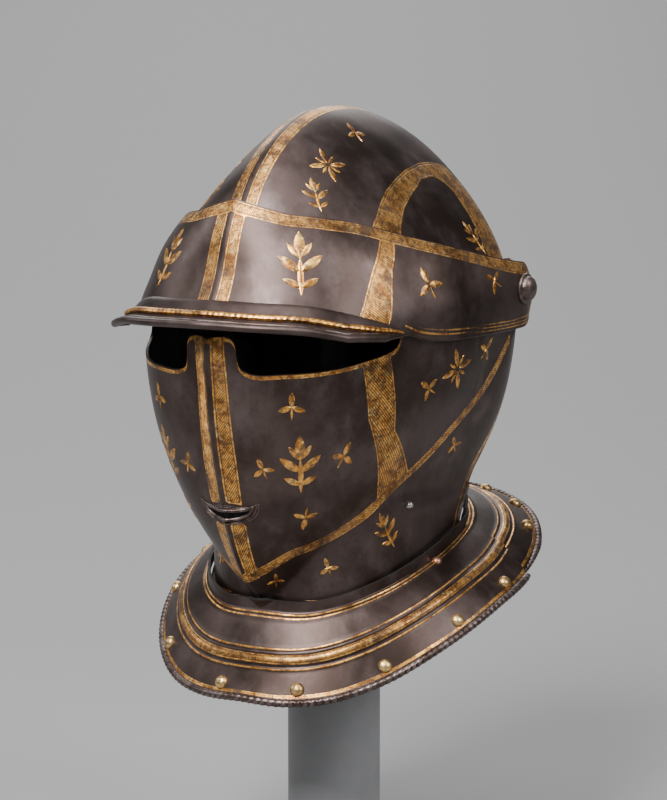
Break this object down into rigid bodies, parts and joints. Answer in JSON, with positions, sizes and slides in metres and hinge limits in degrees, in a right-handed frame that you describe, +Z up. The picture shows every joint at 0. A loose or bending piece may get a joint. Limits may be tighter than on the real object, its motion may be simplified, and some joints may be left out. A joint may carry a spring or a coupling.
{
  "type": "close helmet on stand",
  "caption": "Close helmet with peaked visor, pointed face guard, bevor, flared neck plates and roped edges, held on a plain round post stand.",
  "frame": {"origin": "centre of the stand's underside, on the floor", "axes": "+Z up, -Y to the front that the visor faces, +X to the wearer's left"},
  "size_m": [0.231, 0.3089, 0.4899],
  "materials": {
    "patinated_steel": "dark brown patina with worn gilding",
    "brass": "worn satin",
    "bare_steel": "satin",
    "copper": "worn satin",
    "grey_paint": "matt"
  },
  "bodies": {
    "skull_body": {"skull": "patinated_steel", "gorget_rear": "patinated_steel", "pivot_left": "patinated_steel", "pivot_right": "patinated_steel", "stand": "grey_paint", "lining_rivet_rear_1": "brass", "lining_rivet_rear_2": "brass", "lining_rivet_rear_3": "brass", "lining_rivet_rear_4": "brass", "lining_rivet_rear_5": "brass", "lining_rivet_rear_6": "brass", "lining_rivet_rear_7": "brass"},
    "bevor_body": {"bevor": "patinated_steel", "gorget_front": "patinated_steel", "catch_stud": "bare_steel", "join_rivet_left": "copper", "join_rivet_right": "copper", "lining_rivet_front_1": "brass", "lining_rivet_front_2": "brass", "lining_rivet_front_3": "brass", "lining_rivet_front_4": "brass", "lining_rivet_front_5": "brass", "lining_rivet_front_6": "brass", "lining_rivet_front_7": "brass", "lining_rivet_front_8": "brass"},
    "face_guard_body": {"face_guard": "patinated_steel"},
    "visor_body": {"visor": "patinated_steel"}
  },
  "joints": [
    {"name": "bevor_lift", "type": "hinge", "parent": "skull_body", "child": "bevor_body", "pos_m": [0, 0.0385, 0.382], "axis": [-1, 0, 0], "range_deg": [0, 40]},
    {"name": "face_guard_lift", "type": "hinge", "parent": "bevor_body", "child": "face_guard_body", "pos_m": [0, 0.0385, 0.382], "axis": [-1, 0, 0], "range_deg": [0, 30]},
    {"name": "visor_lift", "type": "hinge", "parent": "face_guard_body", "child": "visor_body", "pos_m": [0, 0.0385, 0.382], "axis": [-1, 0, 0], "range_deg": [0, 40]}
  ]
}
